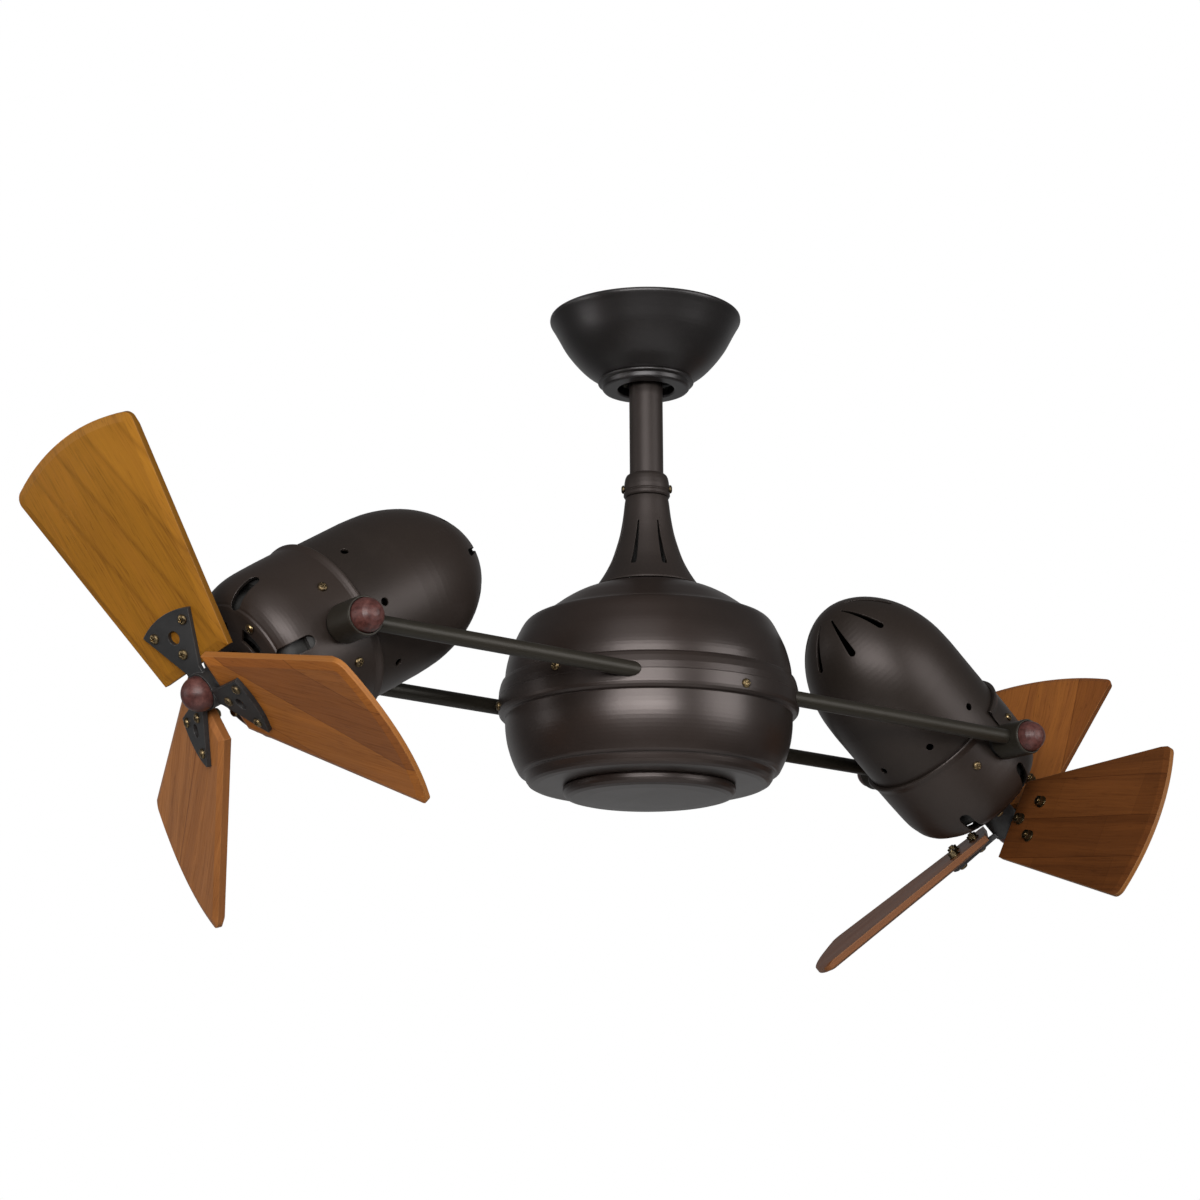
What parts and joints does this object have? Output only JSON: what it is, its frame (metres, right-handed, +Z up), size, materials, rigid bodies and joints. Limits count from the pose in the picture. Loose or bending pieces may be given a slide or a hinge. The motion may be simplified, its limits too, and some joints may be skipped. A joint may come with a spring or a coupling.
{
  "type": "twin head ceiling fan",
  "caption": "Ceiling fan with tilting motor heads on two parallel rods that turn about a central housing under a downrod, each head with a wooden bladed rotor.",
  "frame": {"origin": "centre of the ceiling face of the hanger bracket", "axes": "+Z up into the ceiling, X along the two carrying rods at rest, the near rod on the -Y side"},
  "size_m": [0.8381, 0.3209, 0.4164],
  "materials": {
    "bronze_paint": "satin dark bronze paint",
    "dark_iron_paint": "matt dark paint on cast metal",
    "cast_frame": "cast, unpainted",
    "zinc_steel": "zinc plated",
    "lamination_steel": "stacked sheet steel",
    "shaft_steel": "ground steel",
    "copper_wire": "enamelled copper",
    "copper_rings": "copper rings on an insulating sleeve",
    "bearing_bronze": "sintered bronze",
    "antique_brass": "antique brass",
    "hard_plastic": "moulded insulating plastic",
    "varnished_wood": "satin varnish",
    "mahogany": "dark semi-gloss stain"
  },
  "bodies": {
    "ceiling_mount": {"hanger_bracket": "zinc_steel", "canopy": "bronze_paint", "canopy_ring": "bronze_paint", "canopy_screws": "antique_brass"},
    "hanger": {"hanger_ball": "hard_plastic", "ball_pin": "zinc_steel", "downrod": "bronze_paint", "coupling_collar": "bronze_paint", "collar_screws": "antique_brass", "neck_cover": "bronze_paint", "spindle": "zinc_steel", "spindle_nut": "zinc_steel", "slip_rings": "copper_rings"},
    "turning_centre": {"near_rod": "bronze_paint", "far_rod": "bronze_paint", "near_left_rod_eye": "bronze_paint", "far_left_rod_eye": "bronze_paint", "near_right_rod_eye": "bronze_paint", "far_right_rod_eye": "bronze_paint", "upper_housing": "bronze_paint", "lower_housing": "bronze_paint", "bottom_cover": "bronze_paint", "housing_screws": "antique_brass", "rod_carrier": "cast_frame", "bearing_bushings": "bearing_bronze", "brush_block": "hard_plastic"},
    "left_head": {"left_rear_shell": "bronze_paint", "left_front_shell": "bronze_paint", "left_motor_frame": "cast_frame", "left_end_plates": "cast_frame", "left_stator_core": "lamination_steel", "left_stator_windings": "copper_wire", "left_shell_screws": "antique_brass"},
    "left_rotor": {"left_motor_rotor": "shaft_steel", "left_blade_carrier": "dark_iron_paint", "left_blade_a": "varnished_wood", "left_blade_b": "varnished_wood", "left_blade_c": "varnished_wood", "left_blade_screws": "antique_brass", "left_blade_nuts": "antique_brass", "left_spinner": "mahogany"},
    "left_near_clamp": {"left_near_knob": "mahogany"},
    "left_far_clamp": {"left_far_knob": "mahogany"},
    "right_head": {"right_rear_shell": "bronze_paint", "right_front_shell": "bronze_paint", "right_motor_frame": "cast_frame", "right_end_plates": "cast_frame", "right_stator_core": "lamination_steel", "right_stator_windings": "copper_wire", "right_shell_screws": "antique_brass"},
    "right_rotor": {"right_motor_rotor": "shaft_steel", "right_blade_carrier": "dark_iron_paint", "right_blade_a": "varnished_wood", "right_blade_b": "varnished_wood", "right_blade_c": "varnished_wood", "right_blade_screws": "antique_brass", "right_blade_nuts": "antique_brass", "right_spinner": "mahogany"},
    "right_near_clamp": {"right_near_knob": "mahogany"},
    "right_far_clamp": {"right_far_knob": "mahogany"}
  },
  "joints": [
    {"name": "downrod_swing", "type": "hinge", "parent": "ceiling_mount", "child": "hanger", "pos_m": [0, 0, -0.022], "axis": [1, 0, 0], "range_deg": [-10, 10]},
    {"name": "centre_turn", "type": "hinge", "parent": "hanger", "child": "turning_centre", "pos_m": [0, 0, -0.262], "axis": [0, 0, 1], "continuous": true},
    {"name": "left_head_tilt", "type": "hinge", "parent": "turning_centre", "child": "left_head", "pos_m": [-0.25994, 0, -0.25655], "axis": [0, -1, 0], "range_deg": [-121.7, 58.3]},
    {"name": "right_head_tilt", "type": "hinge", "parent": "turning_centre", "child": "right_head", "pos_m": [0.25994, 0, -0.26744], "axis": [0, 1, 0], "range_deg": [-129.6, 50.4]},
    {"name": "left_rotor_spin", "type": "hinge", "parent": "left_head", "child": "left_rotor", "pos_m": [-0.25994, 0, -0.25655], "axis": [-0.8508, 0, -0.5255], "continuous": true},
    {"name": "right_rotor_spin", "type": "hinge", "parent": "right_head", "child": "right_rotor", "pos_m": [0.25994, 0, -0.26744], "axis": [0.7705, 0, -0.6374], "continuous": true},
    {"name": "left_near_knob_turn", "type": "hinge", "parent": "left_head", "child": "left_near_clamp", "pos_m": [-0.25994, -0.085, -0.25655], "axis": [0, -1, 0], "range_deg": [0, 360]},
    {"name": "left_far_knob_turn", "type": "hinge", "parent": "left_head", "child": "left_far_clamp", "pos_m": [-0.25994, 0.085, -0.25655], "axis": [0, 1, 0], "range_deg": [0, 360]},
    {"name": "right_near_knob_turn", "type": "hinge", "parent": "right_head", "child": "right_near_clamp", "pos_m": [0.25994, -0.085, -0.26744], "axis": [0, -1, 0], "range_deg": [0, 360]},
    {"name": "right_far_knob_turn", "type": "hinge", "parent": "right_head", "child": "right_far_clamp", "pos_m": [0.25994, 0.085, -0.26744], "axis": [0, 1, 0], "range_deg": [0, 360]}
  ]
}
